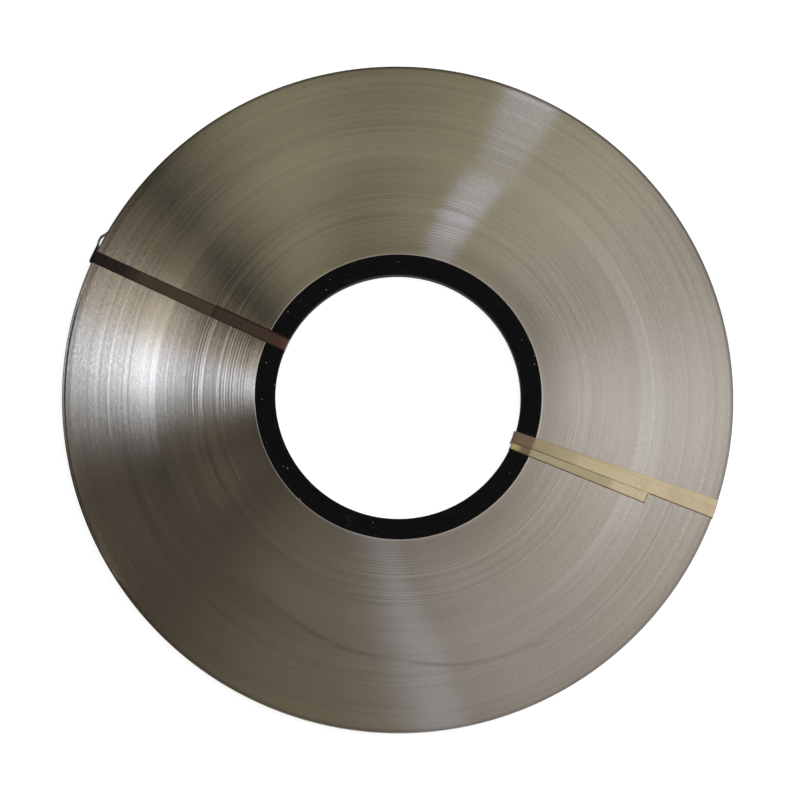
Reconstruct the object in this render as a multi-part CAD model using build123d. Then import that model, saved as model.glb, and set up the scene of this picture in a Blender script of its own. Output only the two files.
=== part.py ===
from build123d import *
import math
import os

# Pancake coil of narrow nickel-plated steel strip, wound on a black ring core and tied by two tape bands.
# The coil lies flat: +Z is the axis of the bore, and z = 0 is the plane that the bands' undersides rest on.
# Lengths are millimetres and angles are degrees, counted from +X towards +Y.

# Core ring
bore_diameter = 150.0
core_wall = 12.5
core_width = 10.0
core_edge_chamfer = 0.5

# Strip coil
coil_diameter = 410.0
strip_width = 10.0
winding_clearance = 0.05

# Turns of the strip: the winding wanders along the axis, so its turns stand proud or lie sunk in rings.
# Each pair gives a turn's place in the wound depth and how far the strip has shifted there, as a share of the
# largest shift. Both edges of a turn shift alike, so a ring that stands proud above is sunk below.
turn_shift = 0.3
turn_shift_shares = (
    (0.0, -0.4),
    (0.06, 0.1),
    (0.104, -0.3),
    (0.11, 0.6),
    (0.145, 0.2),
    (0.182, 0.5),
    (0.188, -0.4),
    (0.272, -0.1),
    (0.278, 0.9),
    (0.333, 1.0),
    (0.34, 0.0),
    (0.43, -0.3),
    (0.516, 0.2),
    (0.522, 0.8),
    (0.655, 0.5),
    (0.662, -0.2),
    (0.757, -0.5),
    (0.763, 0.4),
    (0.863, 0.2),
    (0.87, -0.3),
    (0.955, 0.1),
    (1.0, -1.0),
)

# Tape film of both bands
film_width = 7.5
film_thickness = 0.12
film_clearance = 0.05
lap_ramp = 1.5

# A band is wound a little more than once round. Its first lap starts at a share of the way from bore to rim
# and lies to one side of the second: the two offsets are its middle line's, at the bore and at its start.
# Where the second lap comes up the rim, two windings of the film lie side by side, fanned apart by the fan.

# Dark brown band, with its loose tail along the rim
brown_angle = 155.3
brown_lap_face_share = 0.377
brown_bore_offset = 0.4
brown_start_offset = 0.6
brown_rim_fan = 0.5
brown_tail_length = 13.0
brown_tail_height = 7.0
brown_tail_stand_off = 1.4

# Straw-coloured band
straw_angle = 341.0
straw_lap_face_share = 0.681
straw_bore_offset = 4.4
straw_start_offset = 9.1
straw_rim_fan = 4.3

# How far a cutting shape runs past what it cuts
overrun = 5.0

# Radii and heights that the pieces share
bore_radius = bore_diameter / 2
core_radius = bore_radius + core_wall
winding_radius = core_radius + winding_clearance
coil_radius = coil_diameter / 2
highest_shift = turn_shift * max(shift_share for place_share, shift_share in turn_shift_shares)
lowest_shift = turn_shift * min(shift_share for place_share, shift_share in turn_shift_shares)
under_seat = film_thickness
mid_height = under_seat + max(strip_width / 2 - lowest_shift, core_width / 2)
top_seat = mid_height + max(strip_width / 2 + highest_shift, core_width / 2)
top_single = top_seat + film_thickness
top_double = top_single + film_thickness
bore_seat_radius = bore_radius - film_clearance
bore_single_radius = bore_seat_radius - film_thickness
bore_double_radius = bore_single_radius - film_thickness
rim_seat_radius = coil_radius + film_clearance
rim_film_radius = rim_seat_radius + film_thickness


def turned(section_points):
    """Solid of revolution about Z of a closed section, given as points (radius, height)."""
    outline = Polyline(*[(radius, 0, height) for radius, height in section_points], close=True)
    return revolve(make_face(outline), Axis.Z)


def strip_coil():
    """Wound strip as one turned solid, with the rings of its proud and sunk turns on both ends."""
    wound_depth = coil_radius - winding_radius
    upper = []
    lower = []
    for place_share, shift_share in turn_shift_shares:
        radius = winding_radius + place_share * wound_depth
        turn_height = mid_height + shift_share * turn_shift
        upper.append((radius, turn_height + strip_width / 2))
        lower.append((radius, turn_height - strip_width / 2))
    return turned(upper + lower[::-1])


def core_ring():
    """Ring that the strip is wound on, with both edges of its bore chamfered."""
    half_width = core_width / 2
    chamfer_radius = bore_radius + core_edge_chamfer
    wall_half = half_width - core_edge_chamfer
    return turned([
        (core_radius, mid_height - half_width),
        (core_radius, mid_height + half_width),
        (chamfer_radius, mid_height + half_width),
        (bore_radius, mid_height + wall_half),
        (bore_radius, mid_height - wall_half),
        (chamfer_radius, mid_height - half_width),
    ])


def film_slab(bore_offset, far_offset, far_radius):
    """Upright slab along +X, as wide as the film, whose middle line has one offset in Y at the bore and
    another at a radius further out."""
    slope = (far_offset - bore_offset) / (far_radius - bore_radius)
    near_end = bore_double_radius - overrun
    far_end = rim_film_radius + overrun
    near_middle = bore_offset + slope * (near_end - bore_radius)
    far_middle = bore_offset + slope * (far_end - bore_radius)
    half = film_width / 2
    plan = Polyline(
        (near_end, near_middle - half),
        (far_end, far_middle - half),
        (far_end, far_middle + half),
        (near_end, near_middle + half),
        close=True,
    )
    slab = extrude(make_face(plan), amount=top_double + 2 * overrun)
    return Pos(0, 0, -overrun) * slab


def level_slice(low, high):
    """Level slice of space between two heights, wide enough to hold the whole coil."""
    side = 2 * (rim_film_radius + overrun)
    return Pos(0, 0, (low + high) / 2) * Box(side, side, high - low)


def first_lap(start_radius, bore_offset, start_offset, rim_fan):
    """First lap of a band: from its cut end on the upper face, down the bore and out under the coil."""
    film = turned([
        (bore_single_radius, 0),
        (rim_film_radius, 0),
        (rim_film_radius, under_seat),
        (bore_seat_radius, under_seat),
        (bore_seat_radius, top_seat),
        (start_radius, top_seat),
        (start_radius, top_single),
        (bore_single_radius, top_single),
    ])
    skewed = film_slab(-bore_offset, -start_offset, start_radius)
    fanned = film_slab(-bore_offset, 0, coil_radius) + film_slab(-bore_offset, -rim_fan, coil_radius)
    bore_and_top = film & skewed & level_slice(under_seat, top_double)
    underside = film & fanned & level_slice(-overrun, under_seat)
    return bore_and_top + underside


def second_lap(start_radius, rim_fan):
    """Second lap of a band: up the rim, in over the upper face and the first lap, and into the bore."""
    ramp_radius = start_radius + lap_ramp
    film = turned([
        (rim_seat_radius, under_seat),
        (rim_film_radius, under_seat),
        (rim_film_radius, top_single),
        (ramp_radius, top_single),
        (start_radius, top_double),
        (bore_double_radius, top_double),
        (bore_double_radius, under_seat),
        (bore_single_radius, under_seat),
        (bore_single_radius, top_single),
        (start_radius, top_single),
        (ramp_radius, top_seat),
        (rim_seat_radius, top_seat),
    ])
    return film & (film_slab(0, 0, coil_radius) + film_slab(0, -rim_fan, coil_radius))


def rim_tail(length, height, stand_off):
    """Loose end of the film: it leaves the band's edge, arches off the rim and meets it again."""
    start_angle = math.degrees(film_width / 4 / coil_radius)
    end_angle = start_angle + math.degrees((film_width / 4 + length) / coil_radius)
    middle_angle = (start_angle + end_angle) / 2

    def at(radius, angle):
        return Vector(radius, 0).rotate(Axis.Z, -angle)

    inner_arc = ThreePointArc(
        at(rim_seat_radius, start_angle),
        at(rim_seat_radius + stand_off, middle_angle),
        at(rim_seat_radius, end_angle),
    )
    outer_arc = ThreePointArc(
        at(rim_film_radius, start_angle),
        at(rim_film_radius + stand_off, middle_angle),
        at(rim_film_radius, end_angle),
    )
    ends = [Line(inner_arc @ place, outer_arc @ place) for place in (0, 1)]
    plan = make_face(Curve() + [inner_arc, outer_arc, *ends])
    return Pos(0, 0, mid_height - height / 2) * extrude(plan, amount=height)


def tie_band(face_share, bore_offset, start_offset, rim_fan):
    """Tape band wound a little more than once round the coil's section, along +X."""
    start_radius = bore_radius + face_share * (coil_radius - bore_radius)
    return first_lap(start_radius, bore_offset, start_offset, rim_fan) + second_lap(start_radius, rim_fan)


def brown_tie_band():
    """Dark brown band with its loose tail on the rim."""
    band = tie_band(brown_lap_face_share, brown_bore_offset, brown_start_offset, brown_rim_fan)
    tail = rim_tail(brown_tail_length, brown_tail_height, brown_tail_stand_off)
    return Rot(0, 0, brown_angle) * (band + tail)


def straw_tie_band():
    """Straw-coloured band, whose first lap shows as a strip beside its second."""
    band = tie_band(straw_lap_face_share, straw_bore_offset, straw_start_offset, straw_rim_fan)
    return Rot(0, 0, straw_angle) * band


os.makedirs("parts", exist_ok=True)
export_step(strip_coil(), "parts/strip_coil.step")
export_step(core_ring(), "parts/core_ring.step")
export_step(brown_tie_band(), "parts/brown_tie_band.step")
export_step(straw_tie_band(), "parts/straw_tie_band.step")
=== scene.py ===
"""Pancake coil of nickel-plated steel strip, wound on a black ring core and tied by two tape bands.

Every piece is a surface worked out on a grid, in metres, in the frame of the solids: +Z is the axis of the
bore and z = 0 is the plane that the bands' undersides rest on. Angles are counted from +X towards +Y.
"""
from __future__ import annotations

import logging
import math
from dataclasses import dataclass
from enum import Enum
from typing import Mapping, Optional, Sequence, Union

import bpy
import numpy as np
from mathutils import Matrix, Vector


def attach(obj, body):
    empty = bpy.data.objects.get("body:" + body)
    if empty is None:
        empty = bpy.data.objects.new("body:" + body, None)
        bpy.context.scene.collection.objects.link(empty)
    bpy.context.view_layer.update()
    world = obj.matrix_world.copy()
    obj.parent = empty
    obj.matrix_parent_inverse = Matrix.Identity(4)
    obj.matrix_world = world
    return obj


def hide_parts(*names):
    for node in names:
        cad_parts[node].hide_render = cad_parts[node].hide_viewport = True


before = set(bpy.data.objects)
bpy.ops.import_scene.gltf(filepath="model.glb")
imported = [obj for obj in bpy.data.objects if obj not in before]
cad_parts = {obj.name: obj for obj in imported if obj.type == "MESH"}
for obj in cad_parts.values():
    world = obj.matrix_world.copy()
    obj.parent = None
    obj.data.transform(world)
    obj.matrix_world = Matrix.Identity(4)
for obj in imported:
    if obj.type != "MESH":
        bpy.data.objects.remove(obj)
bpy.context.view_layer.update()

log = logging.getLogger("strip_coil")

MM = 0.001
FULL_TURN = 2.0 * math.pi

Colour = tuple[float, float, float]
Range = tuple[float, float]
Place = tuple[float, float, float]
Zone = tuple[float, float, float, float]
Dulling = tuple[float, float, float]
Material = bpy.types.Material
Socket = bpy.types.NodeSocket
Sockets = bpy.types.NodeOutputs
Feed = Union[float, Sequence[float], Socket]
Feeds = Mapping[Union[str, int], Feed]


class Slot(Enum):
    """Material slots of the record."""

    NICKEL = "nickel_plate"
    CORE = "core_black"
    BROWN = "tape_brown"
    STRAW = "tape_straw"


class Sum(Enum):
    """Operations of the Math node that the finishes use."""

    ADD = "ADD"
    SUBTRACT = "SUBTRACT"
    MULTIPLY = "MULTIPLY"
    DIVIDE = "DIVIDE"
    ABSOLUTE = "ABSOLUTE"
    MAXIMUM = "MAXIMUM"
    SINE = "SINE"
    LESS = "LESS_THAN"
    HEADING = "ARCTAN2"


def seen(red: float, green: float, blue: float) -> Colour:
    """Light values of a colour that is given as it looks on a screen.

    Args:
        red: red level, 0 to 255.
        green: green level, 0 to 255.
        blue: blue level, 0 to 255.

    Returns:
        The three linear light values, 0 to 1.
    """
    levels = np.array([red, green, blue]) / 255.0
    light = np.where(levels <= 0.04045, levels / 12.92, ((levels + 0.055) / 1.055) ** 2.4)
    return tuple(float(value) for value in light)


def colour_run(*stops: tuple[float, float, float, float]) -> tuple[tuple[float, Colour], ...]:
    """Places and light values of colours, each given as a place and three screen levels."""
    return tuple((place, seen(*levels)) for place, *levels in stops)


def smooth_step(low: float, high: float, value: np.ndarray) -> np.ndarray:
    """Ease from 0 at low to 1 at high: 3 t squared minus 2 t cubed, with t the share of the way."""
    share = np.clip((value - low) / (high - low), 0.0, 1.0)
    return share * share * (3.0 - 2.0 * share)


def turned_away(angle: np.ndarray, middle: np.ndarray) -> np.ndarray:
    """Angle between two headings in degrees, the short way round, from -180 to 180."""
    return (angle - middle + 180.0) % 360.0 - 180.0


def ring_points(radius: np.ndarray, turn: np.ndarray, height: np.ndarray) -> np.ndarray:
    """Points by their distance from the axis, their heading in radians and their height."""
    parts = np.broadcast_arrays(radius * np.cos(turn), radius * np.sin(turn), height)
    return np.stack(parts, axis=-1)


@dataclass
class Surface:
    """Closed surface on a grid of rows by columns, whose columns close into loops.

    Its rows either close into a loop too, or end in two flat caps. Row steps crossed with column steps
    point out of the solid.
    """

    points: np.ndarray
    rows_close: bool
    lap: float = 0.0

    def cells(self) -> tuple[np.ndarray, np.ndarray]:
        """Row numbers of the cells of the grid, in a column, and column numbers, in a row."""
        rows, columns = self.points.shape[:2]
        return np.arange(rows if self.rows_close else rows - 1)[:, None], np.arange(columns)[None, :]

    def quads(self) -> np.ndarray:
        """Corner numbers of the quads.

        Returns:
            The four corners of each cell of the grid.
        """
        rows, columns = self.points.shape[:2]
        row, column = self.cells()
        next_row = (row + 1) % rows
        next_column = (column + 1) % columns
        corners = [
            row * columns + column,
            next_row * columns + column,
            next_row * columns + next_column,
            row * columns + next_column,
        ]
        return np.stack(corners, axis=-1).reshape(-1, 4)

    def caps(self) -> list[list[int]]:
        """Corner numbers of the end faces.

        Returns:
            The loops of the two ends, or none where the rows close.
        """
        if self.rows_close:
            return []
        rows, columns = self.points.shape[:2]
        first = list(range(columns))
        last = list(range((rows - 1) * columns, rows * columns))
        return [first, last[::-1]]

    def places(self) -> np.ndarray:
        """Shares of the way round the columns and along the rows.

        Returns:
            Two shares for each corner of each face in turn, which are zero on the end faces.
        """
        rows, columns = self.points.shape[:2]
        row, column = self.cells()
        cells = (row.size, columns)
        across = [np.broadcast_to(column + step, cells) / columns for step in (0, 0, 1, 1)]
        along = [np.broadcast_to(row + step, cells) / rows for step in (0, 1, 1, 0)]
        grid = np.stack([np.stack(across, axis=-1), np.stack(along, axis=-1)], axis=-1)
        caps = np.zeros((0 if self.rows_close else 2 * columns, 2))
        return np.concatenate([grid.reshape(-1, 2), caps])


def make_piece(name: str, surfaces: Sequence[Surface], material: Material) -> bpy.types.Object:
    """Puts surfaces into one smooth-shaded mesh object at the origin.

    Args:
        name: name of the new object.
        surfaces: the surfaces that make up the piece.
        material: finish of the piece.

    Returns:
        The new object, linked into the scene.
    """
    points: list[np.ndarray] = []
    faces: list[list[int]] = []
    places: list[np.ndarray] = []
    laps: list[np.ndarray] = []
    count = 0
    for surface in surfaces:
        points.append(surface.points.reshape(-1, 3))
        faces += (surface.quads() + count).tolist()
        faces += [[corner + count for corner in cap] for cap in surface.caps()]
        places.append(surface.places())
        laps.append(np.full(surface.points.shape[0] * surface.points.shape[1], surface.lap))
        count += laps[-1].size
    mesh = bpy.data.meshes.new(name)
    mesh.from_pydata(np.concatenate(points).tolist(), [], faces)
    layer = mesh.uv_layers.new(name="place")
    layer.uv.foreach_set("vector", np.concatenate(places).astype(np.float32).ravel())
    mesh.attributes.new("lap", "FLOAT", "POINT").data.foreach_set("value", np.concatenate(laps))
    mesh.polygons.foreach_set("use_smooth", np.ones(len(faces), dtype=bool))
    mesh.update()
    mesh.materials.append(material)
    piece = bpy.data.objects.new(name, mesh)
    bpy.context.scene.collection.objects.link(piece)
    return piece


def seat_piece(piece: bpy.types.Object, node: str) -> None:
    """Lets a piece stand for a solid and move with the row's one body.

    Args:
        piece: the piece.
        node: node of the solid.
    """
    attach(piece, "root")
    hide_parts(node)
    log.info("%s: %d faces, for %s", piece.name, len(piece.data.polygons), node)


class NodeSheet:
    """Node tree with short calls that add nodes and join them."""

    def __init__(self, tree: bpy.types.NodeTree) -> None:
        """Keeps the tree that the nodes go into."""
        self.tree = tree

    def feed(self, socket: Socket, value: Feed) -> None:
        """Joins an input to a socket, or sets it to a value.

        Args:
            socket: the input.
            value: the socket to join it to, or the number, vector or colour to set it to.
        """
        if isinstance(value, Socket):
            self.tree.links.new(value, socket)
        elif isinstance(value, (int, float)):
            socket.default_value = value
        else:
            lacks_alpha = socket.type == "RGBA" and len(value) == 3
            socket.default_value = (*value, 1.0) if lacks_alpha else tuple(value)

    def fill(self, node: bpy.types.Node, feeds: Feeds) -> None:
        """Feeds inputs of a node, by name or number."""
        for name, value in feeds.items():
            self.feed(node.inputs[name], value)

    def node(self, kind: str, feeds: Optional[Feeds] = None, **options: object) -> bpy.types.Node:
        """Adds a node.

        Args:
            kind: type name of the node.
            feeds: value or socket for each input, by name or number.
            options: settings of the node itself, which are made before its inputs are fed.

        Returns:
            The new node.
        """
        made = self.tree.nodes.new(kind)
        for option, value in options.items():
            setattr(made, option, value)
        self.fill(made, feeds or {})
        return made

    def sum(self, operation: Sum, first: Feed, second: Feed = 0.0) -> Socket:
        """Result of one sum of two values."""
        return self.node("ShaderNodeMath", {0: first, 1: second}, operation=operation.value).outputs[0]

    def times(self, first: Feed, second: Feed) -> Socket:
        """Product of two values."""
        return self.sum(Sum.MULTIPLY, first, second)

    def apart(self, first: Feed, second: Feed) -> Socket:
        """Distance between two values."""
        return self.sum(Sum.ABSOLUTE, self.sum(Sum.SUBTRACT, first, second))

    def scaled(self, value: Feed, gain: Feed, offset: Feed) -> Socket:
        """Value times gain plus offset."""
        feeds = {0: value, 1: gain, 2: offset}
        return self.node("ShaderNodeMath", feeds, operation="MULTIPLY_ADD").outputs[0]

    def step(self, value: Feed, low: float, high: float) -> Socket:
        """Smooth change from 0 at low to 1 at high, which may be the smaller of the two."""
        feeds = {"Value": value, "From Min": low, "From Max": high}
        return self.node("ShaderNodeMapRange", feeds, interpolation_type="SMOOTHSTEP").outputs[0]

    def share(self, value: Feed, low: float, high: float) -> Socket:
        """Even change from 0 at low to 1 at high."""
        feeds = {"Value": value, "From Min": low, "From Max": high}
        return self.node("ShaderNodeMapRange", feeds).outputs[0]

    def blend(self, share: Feed, first: Feed, second: Feed) -> Socket:
        """Mix of two colours by a share."""
        feeds = {0: share, 6: first, 7: second}
        return self.node("ShaderNodeMix", feeds, data_type="RGBA").outputs[2]

    def ramp(self, value: Feed, stops: Sequence[tuple[float, Colour]]) -> Socket:
        """Colour that runs through stops as a value goes from 0 to 1.

        Args:
            value: the value.
            stops: place and colour of each stop, in order.

        Returns:
            The colour.
        """
        made = self.node("ShaderNodeValToRGB", {0: value})
        marks = made.color_ramp.elements
        for place, _ in stops[2:]:
            marks.new(place)
        for mark, (place, colour) in zip(marks, stops):
            mark.position = place
            mark.color = (*colour, 1.0)
        return made.outputs[0]

    def noise(self, vector: Feed, scale: Feed, detail: float = 2.0) -> Socket:
        """Smooth random value about one half, from a point in space."""
        feeds = {"Vector": vector, "Scale": scale, "Detail": detail}
        return self.node("ShaderNodeTexNoise", feeds).outputs[0]

    def parts(self, vector: Feed) -> Sockets:
        """The three parts of a vector."""
        return self.node("ShaderNodeSeparateXYZ", {0: vector}).outputs

    def joined(self, x: Feed, y: Feed, z: Feed) -> Socket:
        """Vector of three values."""
        return self.node("ShaderNodeCombineXYZ", {0: x, 1: y, 2: z}).outputs[0]

    def vector(self, operation: str, first: Feed, second: Feed = (0.0, 0.0, 0.0)) -> Socket:
        """Vector result of one operation on two vectors."""
        return self.node("ShaderNodeVectorMath", {0: first, 1: second}, operation=operation).outputs[0]

    def stretched(self, vector: Feed, length: Feed) -> Socket:
        """Vector times a value."""
        return self.node("ShaderNodeVectorMath", {0: vector, "Scale": length}, operation="SCALE").outputs[0]

    def grouped(self, group: bpy.types.NodeTree, feeds: Mapping[str, Feed]) -> Sockets:
        """Places a node group with its own values."""
        return self.node("ShaderNodeGroup", feeds, node_tree=group).outputs


class Effects:
    """Shader node groups that the finishes share."""

    def __init__(self) -> None:
        """Builds each group once."""
        self.polar = self._polar()
        self.turns = self._turns()
        self.specks = self._specks()
        self.creases = self._creases()

    @staticmethod
    def _group(
        name: str, values: Mapping[str, float], outputs: Mapping[str, str]
    ) -> tuple[bpy.types.NodeTree, NodeSheet, Sockets, bpy.types.Node]:
        """Starts a group that takes a point and some values.

        Args:
            name: name of the group.
            values: first value of each named input besides the point.
            outputs: socket kind of each named output.

        Returns:
            The group, a sheet for its nodes, the sockets that bring its inputs, and the node that takes its
            outputs.
        """
        group = bpy.data.node_groups.new(name, "ShaderNodeTree")
        group.interface.new_socket(name="Point", in_out="INPUT", socket_type="NodeSocketVector")
        for label, value in values.items():
            socket = group.interface.new_socket(name=label, in_out="INPUT", socket_type="NodeSocketFloat")
            socket.default_value = value
        for label, kind in outputs.items():
            group.interface.new_socket(name=label, in_out="OUTPUT", socket_type=kind)
        sheet = NodeSheet(group)
        return group, sheet, sheet.node("NodeGroupInput").outputs, sheet.node("NodeGroupOutput")

    def _polar(self) -> bpy.types.NodeTree:
        """Distance of a point from the axis, and its outward heading.

        Returns:
            The group.
        """
        outputs = {"Radius": "NodeSocketFloat", "Outward": "NodeSocketVector"}
        group, sheet, brought, result = self._group("polar", {}, outputs)
        level = sheet.vector("MULTIPLY", brought["Point"], (1.0, 1.0, 0.0))
        radius = sheet.node("ShaderNodeVectorMath", {0: level}, operation="LENGTH").outputs["Value"]
        sheet.feed(result.inputs["Radius"], radius)
        sheet.feed(result.inputs["Outward"], sheet.vector("NORMALIZE", level))
        return group

    def _turns(self) -> bpy.types.NodeTree:
        """Arcs of random value round the axis: pitch apart, and waver arcs to a radian.

        Returns:
            The group.
        """
        values = {"Pitch": 1.0 * MM, "Waver": 2.0, "Seed": 0.0}
        group, sheet, brought, result = self._group("turns", values, {"Value": "NodeSocketFloat"})
        polar = sheet.grouped(self.polar, {"Point": brought["Point"]})
        height = sheet.parts(brought["Point"])[2]
        depth = sheet.sum(Sum.DIVIDE, sheet.sum(Sum.ADD, polar["Radius"], height), brought["Pitch"])
        depth = sheet.sum(Sum.ADD, depth, brought["Seed"])
        heading = sheet.parts(sheet.stretched(polar["Outward"], brought["Waver"]))
        place = sheet.joined(depth, heading[0], heading[1])
        sheet.feed(result.inputs["Value"], sheet.noise(place, 1.0, detail=1.0))
        return group

    def _specks(self) -> bpy.types.NodeTree:
        """Mask of sparse small specks.

        Returns:
            The group.
        """
        values = {"Spacing": 4.0 * MM, "Amount": 0.1}
        group, sheet, brought, result = self._group("specks", values, {"Mask": "NodeSocketFloat"})
        scale = sheet.sum(Sum.DIVIDE, 1.0, brought["Spacing"])
        cells = sheet.node("ShaderNodeTexVoronoi", {"Vector": brought["Point"], "Scale": scale})
        near = sheet.step(cells.outputs["Distance"], 0.16, 0.06)
        lot = sheet.parts(cells.outputs["Color"])[0]
        chosen = sheet.sum(Sum.LESS, lot, brought["Amount"])
        sheet.feed(result.inputs["Mask"], sheet.times(near, chosen))
        return group

    def _creases(self) -> bpy.types.NodeTree:
        """Height of fine waves and creases in a film.

        Returns:
            The group.
        """
        outputs = {"Height": "NodeSocketFloat"}
        group, sheet, brought, result = self._group("creases", {"Wave": 10.0 * MM}, outputs)
        scale = sheet.sum(Sum.DIVIDE, 1.0, brought["Wave"])
        broad = sheet.noise(brought["Point"], scale, detail=1.0)
        fine = sheet.noise(brought["Point"], sheet.times(scale, 4.0), detail=2.0)
        sheet.feed(result.inputs["Height"], sheet.scaled(fine, 0.25, broad))
        return group


def new_material(name: str) -> tuple[Material, NodeSheet, bpy.types.Node]:
    """Starts a material.

    Args:
        name: name of the material.

    Returns:
        The material, a sheet for its nodes and its Principled shader.
    """
    material = bpy.data.materials.new(name)
    material.use_nodes = True
    shader = material.node_tree.nodes["Principled BSDF"]
    return material, NodeSheet(material.node_tree), shader


@dataclass(frozen=True)
class Arcs:
    """Arcs of random value: their pitch in millimetres, how many there are to a radian, and their seed."""

    pitch: float
    waver: float
    seed: float


class RingFace:
    """Place on a piece and its distance from the axis, for the nodes of one material."""

    def __init__(self, sheet: NodeSheet, effects: Effects) -> None:
        """Reads the place.

        Args:
            sheet: sheet of the material.
            effects: the shared node groups.
        """
        self.sheet = sheet
        self.effects = effects
        self.point = sheet.node("ShaderNodeTexCoord").outputs["Object"]
        self.radius = self.polar(self.point)["Radius"]

    def polar(self, point: Feed) -> Sockets:
        """Distance of a point from the axis, and its outward heading."""
        return self.sheet.grouped(self.effects.polar, {"Point": point})

    def heading(self) -> Socket:
        """Heading round the axis, in radians from -pi to pi."""
        places = self.sheet.parts(self.point)
        return self.sheet.sum(Sum.HEADING, places[1], places[0])

    def turns(self, arcs: Arcs) -> Socket:
        """Random value of arcs round the axis."""
        feeds = {"Point": self.point, "Pitch": arcs.pitch * MM, "Waver": arcs.waver, "Seed": arcs.seed}
        return self.sheet.grouped(self.effects.turns, feeds)["Value"]

    def by_radius(self, stops: Sequence[Range]) -> Socket:
        """Value that changes evenly from stop to stop.

        Args:
            stops: radius in millimetres and value of each stop.

        Returns:
            The value.
        """
        first, last = stops[0][0], stops[-1][0]
        share = self.sheet.share(self.radius, first * MM, last * MM)
        greys = [((place - first) / (last - first), (grey,) * 3) for place, grey in stops]
        return self.sheet.ramp(share, greys)

    def zone(self, edges: Zone) -> Socket:
        """Mask of a ring zone.

        Args:
            edges: radii in millimetres where the zone starts, is whole, fades and ends.

        Returns:
            The mask.
        """
        rise = self.sheet.step(self.radius, edges[0] * MM, edges[1] * MM)
        fall = self.sheet.step(self.radius, edges[3] * MM, edges[2] * MM)
        return self.sheet.times(rise, fall)


@dataclass(frozen=True)
class Scuff:
    """Faint wavy line that crosses the turns: its radius grows evenly with its heading, plus a sine wave.

    Both ends give the heading in radians where the line is lost and the one where it is whole.
    """

    one_end: Range = (-2.3, -2.05)
    other_end: Range = (-0.93, -1.2)
    first_radius: float = 199.2 * MM
    growth: float = 24.0 * MM
    ripples: float = 13.0
    ripple_height: float = 0.7 * MM
    edges: Range = (2.2 * MM, 0.1 * MM)
    patches: Arcs = Arcs(14.0, 7.0, 5.0)
    patch_edges: Range = (0.35, 0.6)
    patch_share: float = 0.22
    least_share: float = 0.1

    def mask(self, face: RingFace) -> Socket:
        """How far the plate is dulled.

        Args:
            face: place on the coil.

        Returns:
            The share, which comes and goes in patches along the line.
        """
        sheet = face.sheet
        heading = face.heading()
        waver = sheet.sum(Sum.SINE, sheet.times(heading, self.ripples))
        even = sheet.scaled(heading, self.growth, self.first_radius)
        middle = sheet.scaled(waver, self.ripple_height, even)
        near = sheet.step(sheet.apart(face.radius, middle), *self.edges)
        within = sheet.times(sheet.step(heading, *self.one_end), sheet.step(heading, *self.other_end))
        patchy = sheet.step(face.turns(self.patches), *self.patch_edges)
        strength = sheet.scaled(patchy, self.patch_share, self.least_share)
        return sheet.times(near, sheet.times(within, strength))


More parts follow.
